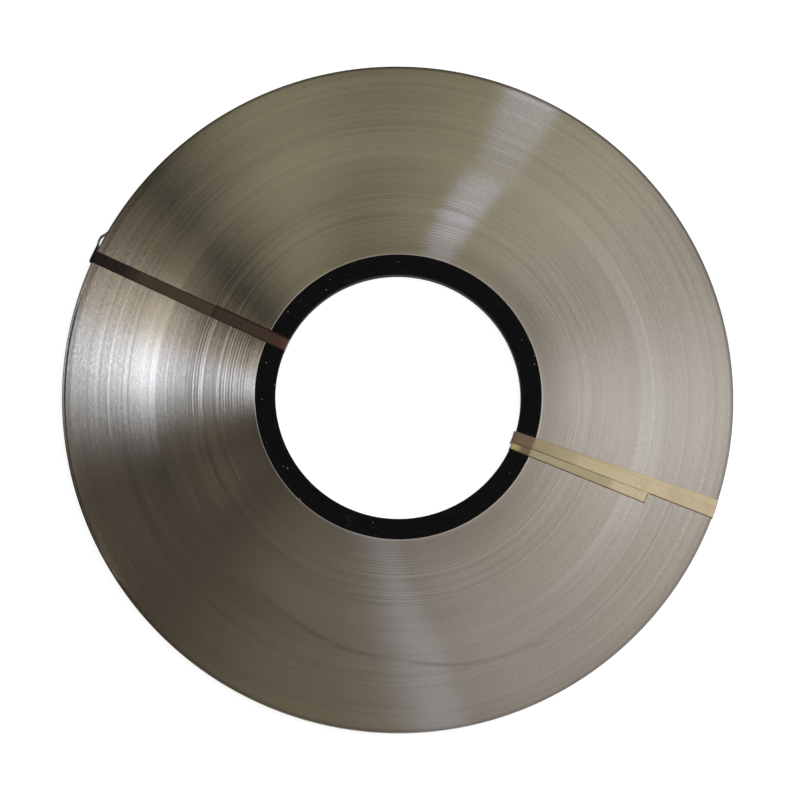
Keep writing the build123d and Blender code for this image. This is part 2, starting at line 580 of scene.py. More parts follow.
@dataclass(frozen=True)
class NickelFinish:
    """Slit edges of nickel-plated strip, turn on turn: a satin metal brushed round the axis.

    The edges of the turns lean away from a point a little off the axis. Each ring gives a radius in
    millimetres and how much more or less the edges lean there, as a share of the ring lean. Each painted
    ring shade gives a radius and how far the plate there is darkened to the groove colour, as painted shade
    along faint rings. Each front dip gives a radius and the share of the front lean that its turns take
    near the front of the coil. Each dulling by arcs gives the values where it starts and where it is whole,
    and its share. The darkening near the core grows with x and the painted shade at the rim with y: both
    give the growth to a metre and the share on the axis.
    """

    plate: Colour = seen(224, 220, 213)
    # Also the colour of the painted shade along faint rings, and of the darkening near the core.
    groove: Colour = seen(120, 112, 98)
    # Colour of the painted shade at the rim.
    shade: Colour = seen(96, 90, 84)
    end_roughness: float = 0.14
    roughness_spread: float = 0.04
    rim_roughness: float = 0.26
    edge_lean: float = 0.22
    ring_lean: float = 0.2
    front_lean: float = 0.05
    front_heading: float = -1.4
    front_edges: Range = (0.85, 0.3)
    lean_centre: Place = (-36.0 * MM, 0.0, 0.0)
    sideways_lean: float = 0.014
    line_pitch: float = 1.75 * MM
    line_waver: float = 1.5
    line_lean: float = 0.034
    front_line_lean: float = 0.017
    fine: Arcs = Arcs(0.8, 2.6, 0.0)
    middle: Arcs = Arcs(2.6, 0.9, 7.0)
    glint: Arcs = Arcs(0.75, 120.0, 33.0)
    sideways: Arcs = Arcs(0.9, 30.0, 57.0)
    grain: Arcs = Arcs(0.7, 110.0, 91.0)
    broad: Arcs = Arcs(9.0, 1.2, 21.0)
    fine_lean: float = 0.03
    middle_lean: float = 0.03
    glint_lean: float = 0.085
    fine_dulling: Dulling = (0.42, 0.22, 0.05)
    grain_dulling: Dulling = (0.7, 0.3, 0.09)
    broad_dulling: Dulling = (0.4, 0.7, 0.08)
    core_darkening: Range = (1.8, 0.3)
    # Painted shade at the rim: its growth with y to a metre, and its share on the axis.
    rim_painted_shade: Range = (1.2, 0.6)
    end_edges: Range = (0.3, 0.8)
    inner_lines: Zone = (88.5, 98.0, 108.0, 111.0)
    outer_lines: Zone = (119.0, 122.0, 126.0, 132.0)
    core_zone: Zone = (87.8, 89.2, 87.8, 114.0)
    rim_edges: Range = (202.0 * MM, 204.5 * MM)
    scuff: Scuff = Scuff()
    rings: tuple[Range, ...] = (
        (87.5, 0.2), (93.5, 0.23), (97.5, 0.26), (109.6, 0.27), (110.2, 0.1), (110.9, 0.1),
        (111.5, 0.28), (119.4, 0.28), (120.2, 0.08), (121.1, 0.08), (121.8, 0.22), (130.0, 0.18),
        (142.0, 0.06), (148.5, -0.03), (149.0, -0.2), (150.0, -0.2), (155.0, -0.19), (158.0, -0.17),
        (165.5, -0.14), (166.0, -0.18), (166.6, -0.14), (169.7, -0.12), (170.1, -0.17), (170.6, -0.08),
        (176.4, -0.08), (177.1, -0.17), (177.8, -0.1), (199.0, -0.1), (201.0, 0.1), (203.0, -0.15),
        (205.0, -0.3),
    )
    # Painted shade along faint rings: radius in millimetres and share darkened to the groove colour.
    painted_ring_shades: tuple[Range, ...] = (
        (87.5, 0.06), (109.4, 0.06), (110.4, 0.1), (111.6, 0.14), (112.8, 0.16), (114.6, 0.0), (117.8, 0.0),
        (119.6, 0.16), (120.8, 0.12), (122.2, 0.04), (123.6, 0.12), (125.0, 0.05), (146.0, 0.05),
        (148.6, 0.08), (149.4, 0.05), (155.2, 0.06), (156.3, 0.0), (157.8, 0.06), (167.3, 0.04),
        (168.8, 0.1), (171.2, 0.1), (172.8, 0.02), (174.5, 0.07), (175.8, 0.02), (177.6, 0.12),
        (178.8, 0.06), (190.5, 0.06), (191.6, 0.0), (193.8, 0.1), (196.0, 0.04), (205.0, 0.06),
    )
    front_dips: tuple[Range, ...] = (
        (87.5, 0.3), (94.0, 0.7), (109.5, 0.9), (110.0, 0.0), (110.7, 0.0), (111.2, 1.0), (119.5, 1.0),
        (120.0, 0.0), (120.8, 0.0), (121.3, 0.8), (130.0, 0.6), (142.0, 0.3), (156.0, 0.2), (158.0, 0.0),
        (205.0, 0.0),
    )

    def material(self, effects: Effects) -> Material:
        """Builds the finish.

        Args:
            effects: the shared node groups.

        Returns:
            The new material.
        """
        material, sheet, shader = new_material("nickel_plate")
        face = RingFace(sheet, effects)
        normal = sheet.node("ShaderNodeNewGeometry").outputs["Normal"]
        on_end = sheet.sum(Sum.ABSOLUTE, sheet.parts(normal)[2])
        fine = face.turns(self.fine)
        middle = face.turns(self.middle)
        outward = face.polar(sheet.vector("SUBTRACT", face.point, self.lean_centre))["Outward"]
        around = sheet.vector("CROSS_PRODUCT", (0.0, 0.0, 1.0), outward)
        rock = sheet.scaled(face.turns(self.sideways), self.sideways_lean, -self.sideways_lean / 2)
        slope = sheet.stretched(outward, self._slope(face, fine, middle))
        lean = sheet.vector("ADD", slope, sheet.stretched(around, rock))
        leaning = sheet.vector("ADD", normal, sheet.stretched(lean, on_end))
        end_roughness = sheet.scaled(middle, self.roughness_spread, self.end_roughness)
        drop = sheet.sum(Sum.SUBTRACT, end_roughness, self.rim_roughness)
        tangent = sheet.node("ShaderNodeTangent", direction_type="UV_MAP", uv_map="place")
        sheet.fill(shader, {
            "Base Color": self._colour(face, fine),
            "Roughness": sheet.scaled(sheet.step(on_end, *self.end_edges), drop, self.rim_roughness),
            "Normal": sheet.vector("NORMALIZE", leaning),
            "Tangent": tangent.outputs[0],
            "Metallic": 1.0,
            "Anisotropic": 1.0,
            "Anisotropic Rotation": 0.25,
        })
        return material

    def _slope(self, face: RingFace, fine: Feed, middle: Feed) -> Socket:
        """Outward slope of the turns' edges.

        The lean of all edges, plus the lean of the ring, plus the front lean near the front, plus a sine
        wave across the two lined zones, which is steeper near the front, plus random arcs of three sizes.

        Args:
            face: place on the coil.
            fine: random value of the fine arcs.
            middle: random value of the middle-sized arcs.

        Returns:
            The slope.
        """
        sheet = face.sheet
        ring = face.by_radius([(place, 0.5 + 0.5 * lean) for place, lean in self.rings])
        slope = sheet.scaled(ring, 2.0 * self.ring_lean, self.edge_lean - self.ring_lean)
        front = sheet.step(sheet.apart(face.heading(), self.front_heading), *self.front_edges)
        dip = sheet.times(front, face.by_radius(self.front_dips))
        slope = sheet.scaled(dip, self.front_lean, slope)
        turn = sheet.scaled(face.radius, FULL_TURN / self.line_pitch, sheet.times(middle, self.line_waver))
        zones = sheet.sum(Sum.ADD, face.zone(self.inner_lines), face.zone(self.outer_lines))
        wave = sheet.scaled(front, self.front_line_lean, self.line_lean)
        slope = sheet.scaled(sheet.sum(Sum.SINE, turn), sheet.times(zones, wave), slope)
        glint = face.turns(self.glint)
        for value, lean in ((fine, self.fine_lean), (middle, self.middle_lean), (glint, self.glint_lean)):
            slope = sheet.scaled(sheet.sum(Sum.SUBTRACT, value, 0.5), lean, slope)
        return slope

    def _colour(self, face: RingFace, fine: Feed) -> Socket:
        """Colour of the plate.

        It is duller in grooves and grain, and along the scuff. Along faint rings it is darkened with
        painted shade, it is darker near the core and more so on the right, and at the rim it has painted
        shade, deeper on the far side.

        Args:
            face: place on the coil.
            fine: random value of the fine arcs.

        Returns:
            The colour.
        """
        sheet = face.sheet
        places = sheet.parts(face.point)
        arcs = (
            (fine, self.fine_dulling),
            (face.turns(self.grain), self.grain_dulling),
            (face.turns(self.broad), self.broad_dulling),
        )
        masks = [(sheet.step(value, start, whole), share) for value, (start, whole, share) in arcs]
        masks += [
            # Darker near the core, more so towards +x.
            (face.zone(self.core_zone), sheet.scaled(places[0], *self.core_darkening)),
            # Painted shade along faint rings.
            (face.by_radius(self.painted_ring_shades), 1.0),
            (self.scuff.mask(face), 1.0),
        ]
        colour: Feed = self.plate
        for mask, share in masks:
            colour = sheet.blend(sheet.times(mask, share), colour, self.groove)
        # Painted shade at the rim, deeper towards +y, the far side.
        rim = sheet.step(face.radius, *self.rim_edges)
        shaded = sheet.times(rim, sheet.scaled(places[1], *self.rim_painted_shade))
        return sheet.blend(shaded, colour, self.shade)


@dataclass(frozen=True)
class CoreFinish:
    """Matt black core, lightly scuffed round its face, with pale dust specks."""

    black: Colour = seen(13, 12, 12)
    scuff: Colour = seen(44, 42, 40)
    dust: Colour = seen(190, 186, 176)
    wear: Arcs = Arcs(0.9, 9.0, 3.0)
    wear_edges: Range = (0.62, 0.8)
    wear_share: float = 0.5
    bore_edges: Range = (75.8 * MM, 75.2 * MM)
    bore_share: float = 0.35
    speck_spacing: float = 2.6 * MM
    speck_amount: float = 0.05
    speck_share: float = 0.7
    grain_scale: float = 900.0
    grain_depth: float = 0.2 * MM

    def material(self, effects: Effects) -> Material:
        """Builds the finish.

        Args:
            effects: the shared node groups.

        Returns:
            The new material.
        """
        material, sheet, shader = new_material("core_black")
        face = RingFace(sheet, effects)
        worn = sheet.times(sheet.step(face.turns(self.wear), *self.wear_edges), self.wear_share)
        edge = sheet.times(sheet.step(face.radius, *self.bore_edges), self.bore_share)
        colour = sheet.blend(sheet.sum(Sum.MAXIMUM, worn, edge), self.black, self.scuff)
        feeds = {"Point": face.point, "Spacing": self.speck_spacing, "Amount": self.speck_amount}
        specks = sheet.times(sheet.grouped(effects.specks, feeds)["Mask"], self.speck_share)
        grain = sheet.noise(face.point, self.grain_scale, detail=3.0)
        feeds = {"Strength": 0.3, "Distance": self.grain_depth, "Height": grain}
        sheet.fill(shader, {
            "Base Color": sheet.blend(specks, colour, self.dust),
            "Roughness": sheet.scaled(grain, 0.25, 0.5),
            "Normal": sheet.node("ShaderNodeBump", feeds).outputs[0],
            "Specular IOR Level": 0.06,
        })
        return material


@dataclass(frozen=True)
class FilmFinish:
    """Glossy tape film: each lap's colour runs from the bore to the rim with what lies under it; on the
    brown film it also holds painted reflection, darker towards the rim.

    One long edge shows a dark line of painted shadow, fainter where it lies on another lap. The film has
    painted shade where it goes down the bore, and a bubble under it shows as a pale spot.
    """

    name: str
    laps: tuple[tuple[tuple[float, Colour], ...], ...]
    cover: float
    roughness: float
    # Colour of the dull creases and of the painted shadow along one edge.
    edge: Colour
    shade: Colour
    wave: float
    shine: float = 0.3
    crease_depth: float = 0.5 * MM
    crease_edges: Range = (0.6, 0.9)
    crease_share: float = 0.12
    roughness_spread: float = 0.2
    shadow_edge: float = 0.444
    line_edges: Range = (0.046, 0.018)
    line_share: float = 0.85
    lap_end: Range = (0.7, 0.68)
    fading: Range = (0.44, 0.56)
    fading_shares: Range = (-0.43, -0.42)
    bubble: Optional[Place] = None
    bubble_edges: Range = (1.3 * MM, 0.5 * MM)
    bubble_share: float = 0.7
    pale: Colour = seen(226, 214, 188)
    bore_heights: Range = (10.65 * MM, 10.2 * MM)
    bore_reach: Range = (2.0 * MM, 1.0 * MM)
    bore_share: float = 0.9

    def material(self, effects: Effects, bore_radius: float, rim_radius: float) -> Material:
        """Builds the finish.

        Args:
            effects: the shared node groups.
            bore_radius: radius where the colour run starts.
            rim_radius: radius where it ends.

        Returns:
            The new material.
        """
        material, sheet, shader = new_material(self.name)
        face = RingFace(sheet, effects)
        share = sheet.share(face.radius, bore_radius, rim_radius)
        height = sheet.grouped(effects.creases, {"Point": face.point, "Wave": self.wave})["Height"]
        dull = sheet.times(sheet.step(height, *self.crease_edges), self.crease_share)
        colour = self._marked(face, share, dull)
        sunk = sheet.step(sheet.parts(face.point)[2], *self.bore_heights)
        inside = sheet.step(face.radius, *(bore_radius + reach for reach in self.bore_reach))
        deep = sheet.times(sheet.times(sunk, inside), self.bore_share)
        feeds = {"Strength": 0.4, "Distance": self.crease_depth, "Height": height}
        sheet.fill(shader, {
            "Base Color": sheet.blend(deep, colour, self.shade),
            "Roughness": sheet.scaled(height, self.roughness_spread, self.roughness),
            "Normal": sheet.node("ShaderNodeBump", feeds).outputs[0],
            "Alpha": self.cover,
            "Specular IOR Level": self.shine,
        })
        return material

    def _marked(self, face: RingFace, share: Feed, dull: Feed) -> Socket:
        """Colour of the laps with their dull creases, the painted shadow along one edge, and bubble.

        Args:
            face: place on the film.
            share: share of the way from the bore to the rim.
            dull: mask of the creases.

        Returns:
            The colour.
        """
        sheet = face.sheet
        lap = sheet.node("ShaderNodeAttribute", attribute_name="lap").outputs["Fac"]
        colour = sheet.ramp(share, self.laps[0])
        for number, stops in enumerate(self.laps[1:]):
            chosen = sheet.step(lap, number + 0.4, number + 0.6)
            colour = sheet.blend(chosen, colour, sheet.ramp(share, stops))
        colour = sheet.blend(dull, colour, self.edge)
        across = sheet.parts(sheet.node("ShaderNodeUVMap", uv_map="place").outputs[0])[0]
        lapped = sheet.times(sheet.step(lap, 0.4, 0.6), sheet.step(share, *self.lap_end))
        fainter = sheet.scaled(sheet.step(share, *self.fading), *self.fading_shares)
        strength = sheet.scaled(lapped, fainter, self.line_share)
        # Painted shadow along one long edge, fainter where it lies on another lap.
        line = sheet.times(sheet.step(sheet.apart(across, self.shadow_edge), *self.line_edges), strength)
        colour = sheet.blend(line, colour, self.edge)
        if self.bubble is None:
            return colour
        aside = face.polar(sheet.vector("SUBTRACT", face.point, self.bubble))["Radius"]
        spot = sheet.times(sheet.step(aside, *self.bubble_edges), self.bubble_share)
        return sheet.blend(spot, colour, self.pale)


@dataclass
class StripCoil:
    """Wound strip: a flat ring whose ends show the rings of its proud and sunk turns."""

    winding_radius: float = 87.55 * MM
    rim_radius: float = 204.95 * MM
    mid_height: float = 5.42 * MM
    strip_width: float = 10.0 * MM
    strip_thickness: float = 0.15 * MM
    turn_shift: float = 0.3 * MM
    shown_share: float = 0.1
    rim_round: float = 0.25 * MM
    strip_end: float = 155.3
    step_width: float = 6.0 * MM
    loose_gap_depth: float = 2.4 * MM
    loose_gap_inset: float = 1.7 * MM
    loose_gap_width: float = 0.28 * MM
    loose_gap_span: Zone = (162.0, 170.0, 204.0, 214.0)
    ridge_count: int = 90
    ridge_seed: int = 11
    ridge_breadths: Range = (0.35, 1.3)
    ridge_rise: float = 0.012
    ridge_reaches: Range = (20.0, 110.0)
    groove: tuple[float, float, float, float, float] = (178.9 * MM, 0.75 * MM, -0.042 * MM, 322.0, 24.0)
    columns: int = 240
    upper_rows: int = 280
    lower_rows: int = 50
    rim_rows: int = 30
    rim_band: float = 4.0 * MM
    shift_places: tuple[float, ...] = (
        0.0, 0.06, 0.104, 0.11, 0.145, 0.182, 0.188, 0.272, 0.278, 0.333, 0.34,
        0.43, 0.516, 0.522, 0.655, 0.662, 0.757, 0.763, 0.863, 0.87, 0.955, 1.0,
    )
    shift_shares: tuple[float, ...] = (
        -0.4, 0.1, -0.3, 0.6, 0.2, 0.5, -0.4, -0.1, 0.9, 1.0, 0.0,
        -0.3, 0.2, 0.8, 0.5, -0.2, -0.5, 0.4, 0.2, -0.3, 0.1, -1.0,
    )

    def relief(self, radius: np.ndarray, angle: np.ndarray) -> np.ndarray:
        """Shift of the turns along the axis.

        A share of the winding's own run of shifts, drawn straight between its places, plus low ridges: each
        is a bell across the turns times a bell round the coil, and the first one is a set groove. It is
        never more than the largest shift.

        Args:
            radius: radii of the rows.
            angle: headings of the columns, in degrees.

        Returns:
            Shifts, rows by columns.
        """
        depth = (radius - self.winding_radius) / (self.rim_radius - self.winding_radius)
        run = self.shown_share * self.turn_shift * np.interp(depth, self.shift_places, self.shift_shares)
        lots = np.random.default_rng(self.ridge_seed)
        place = lots.uniform(self.winding_radius, self.rim_radius, self.ridge_count)
        breadth = lots.uniform(*self.ridge_breadths, self.ridge_count) * MM
        rise = lots.normal(0.0, self.ridge_rise, self.ridge_count) * MM
        heading = lots.uniform(0.0, 360.0, self.ridge_count)
        reach = lots.uniform(*self.ridge_reaches, self.ridge_count)
        place[0], breadth[0], rise[0], heading[0], reach[0] = self.groove
        across = np.exp(-(((radius[:, None] - place) / breadth) ** 2)) * rise
        around = np.exp(-((turned_away(angle[:, None], heading) / reach) ** 2))
        return np.clip(run[:, None] + across @ around.T, -self.turn_shift, self.turn_shift)

    def gap(self, radius: np.ndarray, angle: np.ndarray) -> np.ndarray:
        """Depth of the gap inside the loose outer turns: a narrow bell across, eased round the rim.

        Args:
            radius: radii of the rows.
            angle: headings of the columns, in degrees.

        Returns:
            Depths, rows by columns.
        """
        start, whole, fading, end = self.loose_gap_span
        window = smooth_step(start, whole, angle) * (1.0 - smooth_step(fading, end, angle))
        middle = self.rim_radius - self.loose_gap_inset
        across = np.exp(-(((radius[:, None] - middle) / self.loose_gap_width) ** 4))
        return across * window * self.loose_gap_depth

    def surface(self) -> Surface:
        """Section of the ring, carried round the axis.

        The rows run up the inner wall, out over the upper end, down the rounded rim and back in under the
        coil. Height is the middle plus or minus half the strip's width, plus the shift of the turns. The
        rim steps in by one strip thickness over a full turn, back to where the strip ends.

        Returns:
            The closed surface.
        """
        angle = np.arange(self.columns) * (360.0 / self.columns)
        top = self.mid_height + self.strip_width / 2
        foot = self.mid_height - self.strip_width / 2
        inset = self.rim_radius - self.rim_round
        outer = np.linspace(inset - self.rim_band, inset, self.rim_rows)
        upper_radius = np.concatenate([
            np.linspace(self.winding_radius, outer[0], self.upper_rows, endpoint=False), outer
        ])
        lower_radius = np.concatenate([
            outer[::-1], np.linspace(outer[0], self.winding_radius, self.lower_rows + 1)[1:]
        ])
        bend = np.radians(np.linspace(0.0, 90.0, 5))[1:]
        drop = self.rim_round * (1.0 - np.cos(bend))[:, None]
        rim_radius = inset + self.rim_round * np.sin(bend)
        edge_shift = self.relief(np.array([inset]), angle)
        height = np.concatenate([
            top + self.relief(upper_radius, angle) - self.gap(upper_radius, angle),
            top + edge_shift - drop,
            foot + edge_shift + drop[::-1],
            foot + self.relief(lower_radius, angle) + self.gap(lower_radius, angle),
        ])
        radius = np.concatenate([upper_radius, rim_radius, rim_radius[::-1], lower_radius])
        wound = (turned_away(angle, self.strip_end) % 360.0) / 360.0
        near_rim = smooth_step(inset - self.step_width, inset, radius)
        radius = radius[:, None] - self.strip_thickness * near_rim[:, None] * wound[None, :]
        return Surface(ring_points(radius, np.radians(angle)[None, :], height), rows_close=True)

    def build(self, effects: Effects, finish: NickelFinish) -> None:
        """Makes the wound strip and dresses it."""
        piece = make_piece("wound_strip", [self.surface()], finish.material(effects))
        seat_piece(piece, "strip_coil")


@dataclass
class CoreRing:
    """Ring that the strip is wound on."""

    bore_radius: float = 75.0 * MM
    core_radius: float = 87.5 * MM
    mid_height: float = 5.42 * MM
    core_width: float = 10.0 * MM
    edge_round: float = 0.5 * MM
    dish_depth: float = 0.06 * MM
    dish_inset: float = 3.0 * MM
    columns: int = 240

    def surface(self) -> Surface:
        """Rounded oblong section, carried round the axis.

        Each corner of the section is a quarter circle. The rows run up the bore, out over the upper face,
        down the outside and back in. The faces dish by a few hundredths of a millimetre round the ring.

        Returns:
            The closed surface.
        """
        angle = np.arange(self.columns) * (FULL_TURN / self.columns)
        half = self.core_width / 2
        bend = np.radians(np.linspace(0.0, 90.0, 7))
        side, rise = np.sin(bend), np.cos(bend)
        low_in = self.bore_radius + self.edge_round
        low_out = self.core_radius - self.edge_round
        face = np.linspace(low_in, low_out, 20)[1:-1]
        wall = np.linspace(-half + self.edge_round, half - self.edge_round, 8)[1:-1]
        radius = np.concatenate([
            np.full(wall.size, self.bore_radius), low_in - self.edge_round * rise, face,
            low_out + self.edge_round * side, np.full(wall.size, self.core_radius),
            low_out + self.edge_round * rise, face[::-1], low_in - self.edge_round * side,
        ])
        corner = half - self.edge_round
        height = np.concatenate([
            wall, corner + self.edge_round * side, np.full(face.size, half),
            corner + self.edge_round * rise, wall[::-1],
            -corner - self.edge_round * side, np.full(face.size, -half), -corner - self.edge_round * rise,
        ])
        inside = smooth_step(low_in, low_in + self.dish_inset, radius)
        inside = inside * (1.0 - smooth_step(low_out - self.dish_inset, low_out, radius))
        sway = 0.5 + 0.3 * np.sin(3.0 * angle + 0.7) + 0.2 * np.sin(7.0 * angle + 2.1)
        dish = self.dish_depth * np.sign(height)[:, None] * inside[:, None] * sway[None, :]
        level = self.mid_height + height[:, None] - dish
        return Surface(ring_points(radius[:, None], angle, level), rows_close=True)

    def build(self, effects: Effects, finish: CoreFinish) -> None:
        """Makes the ring and dresses it."""
        piece = make_piece("ring_core", [self.surface()], finish.material(effects))
        seat_piece(piece, "core_ring")


@dataclass(frozen=True)
class FilmRun:
    """One winding of a tape film.

    The route gives radius, height and sideways offset at each turn of the film, in millimetres.
    """

    route: tuple[Place, ...]
    width: float = 7.5
    lap: float = 0.0
    thickness: float = 0.05
    bend: float = 1.2
    spacing: float = 0.2

    def path(self) -> np.ndarray:
        """Points along the route.

        Points spaced evenly along the straight route, averaged over a sliding window as long as the bend.
        Where the path is straight, one in five is kept.

        Returns:
            Radius, height and sideways offset of each point, in metres.
        """
        corners = np.array(self.route)
        run = np.concatenate([[0.0], np.cumsum(np.linalg.norm(np.diff(corners, axis=0), axis=1))])
        place = np.linspace(0.0, run[-1], int(run[-1] / self.spacing) + 1)
        even = np.stack([np.interp(place, run, corners[:, axis]) for axis in range(3)], axis=-1)
        reach = max(int(self.bend / self.spacing / 2), 1)
        padded = np.concatenate([
            2 * even[:1] - even[reach:0:-1], even, 2 * even[-1:] - even[-2:-reach - 2:-1]
        ])
        window = np.ones(2 * reach + 1) / (2 * reach + 1)
        eased = np.stack([np.convolve(padded[:, axis], window, mode="valid") for axis in range(3)], axis=-1)
        kept = np.concatenate([[True], np.linalg.norm(np.diff(eased, 2, axis=0), axis=1) > 1e-4, [True]])
        kept[::5] = True
        return eased[kept] * MM

    def surface(self, heading: float) -> Surface:
        """Flat film carried along the path.

        Each row is a thin oblong loop: the width goes sideways and the thickness along the normal, which is
        the way along crossed with the way sideways. A point keeps its distance from the axis, so the film
        lies round the curved walls.

        Args:
            heading: heading of the band, in degrees.

        Returns:
            The closed surface.
        """
        path = self.path()
        along = np.gradient(path[:, :2], axis=0)
        along /= np.linalg.norm(along, axis=1, keepdims=True)
        normal = np.stack([-along[:, 1], along[:, 0]], axis=-1)
        across = np.linspace(0.5, -0.5, 9) * self.width * MM
        offset = np.concatenate([across, across[::-1]])
        skin = np.repeat([0.5, -0.5], across.size) * self.thickness * MM
        radius = path[:, :1] + normal[:, :1] * -skin
        height = path[:, 1:2] + normal[:, 1:2] * -skin
        sideways = path[:, 2:3] + offset
        forward = np.sqrt(radius**2 - sideways**2)
        turn = math.radians(heading)
        points = [
            forward * math.cos(turn) - sideways * math.sin(turn),
            forward * math.sin(turn) + sideways * math.cos(turn),
            height,
        ]
        return Surface(np.stack(points, axis=-1), rows_close=False, lap=self.lap)


@dataclass(frozen=True)
class RimTail:
    """Loose end of a film that arches off the rim and meets it again, sizes in millimetres."""

    start_heading: float
    end_heading: float
    rim_radius: float
    stand_off: float
    low: float
    high: float
    thickness: float = 0.08
    tuck: float = 1.1

    def surface(self) -> Surface:
        """Arch along the rim.

        The film's distance from the rim swells to the stand-off two thirds along and falls to nothing at
        its end. Each row is a thin oblong loop whose lower edge tucks in towards the rim, less so past the
        swell.

        Returns:
            The closed surface.
        """
        share = np.linspace(0.0, 1.0, 40)
        turn = np.radians(self.start_heading + (self.end_heading - self.start_heading) * share)
        off_rim = 1.0 - smooth_step(0.7, 1.0, share)
        swell = 0.65 + 0.35 * smooth_step(0.35, 0.66, share)
        reach = self.rim_radius + self.stand_off * swell * off_rim
        tuck = self.tuck * (1.0 - 0.35 * smooth_step(0.4, 0.62, share)) * off_rim
        level = np.linspace(self.low, self.high, 7)
        height = np.concatenate([level, level[::-1]])
        skin = np.repeat([-0.5, 0.5], level.size) * self.thickness
        radius = reach[:, None] + skin - tuck[:, None] * (self.high - height) / (self.high - self.low)
        return Surface(ring_points(radius, turn[:, None], height) * MM, rows_close=False)


@dataclass
class TieBand:
    """Tape film wound a little more than once round the coil's section."""

    name: str
    node: str
    slot: Slot
    heading: float
    runs: tuple[FilmRun, ...]
    tail: Optional[RimTail] = None

    def build(self, material: Material) -> None:
        """Makes the band's windings as one piece and dresses it.

        Args:
            material: finish of the film.
        """
        surfaces = [run.surface(self.heading) for run in self.runs]
        if self.tail is not None:
            surfaces.append(self.tail.surface())
        seat_piece(make_piece(self.name, surfaces, material), self.node)


class Tint(Enum):
    """Colours of lamp light, as shares of red, green and blue."""

    WARM = (1.0, 0.91, 0.78)
    AMBER = (1.0, 0.83, 0.58)
    OLIVE = (1.0, 0.92, 0.63)
    PLAIN = (1.0, 0.98, 0.96)
    PALE = (0.9, 0.92, 1.0)
    MAUVE = (0.82, 0.78, 1.0)
    COOL = (0.75, 0.86, 1.0)
    BLUE = (0.58, 0.66, 1.0)


@dataclass(frozen=True)
class Lamp:
    """Soft oblong panel lamp that faces the coil, by its heading and its angle down from straight above."""

    name: str
    heading: float
    lean: float
    width: float
    brightness: float
    tint: Tint
    length: float = 1.0
    soft_edge: float = 0.5
    distance: float = 1.2
    mirrored: bool = True

    def build(self) -> None:
        """Makes the lamp, with its width level.

        Its power is pi times its area times its brightness. Across its width, the light fades to nothing at
        both edges, over the soft edge's share of the width.
        """
        lamp = bpy.data.lights.new(self.name, "AREA")
        lamp.shape = "RECTANGLE"
        lamp.size = self.width
        lamp.size_y = self.length
        lamp.energy = math.pi * self.width * self.length * self.brightness
        lamp.color = self.tint.value
        lamp.use_nodes = True
        sheet = NodeSheet(lamp.node_tree)
        across = sheet.parts(sheet.node("ShaderNodeNewGeometry").outputs["Parametric"])[0]
        fading = sheet.step(sheet.apart(across, 0.5), 0.5, 0.5 - self.soft_edge)
        sheet.feed(lamp.node_tree.nodes["Emission"].inputs["Strength"], fading)
        holder = bpy.data.objects.new(self.name, lamp)
        turn, lean = math.radians(self.heading), math.radians(self.lean)
        out = Vector((math.sin(lean) * math.cos(turn), math.sin(lean) * math.sin(turn), math.cos(lean)))
        level = Vector((-math.sin(turn), math.cos(turn), 0.0))
        rotation = Matrix((level, out.cross(level), out)).transposed().to_4x4()
        holder.matrix_world = Matrix.Translation(out * self.distance) @ rotation
        holder.visible_camera = False
        holder.visible_glossy = self.mirrored
        bpy.context.scene.collection.objects.link(holder)


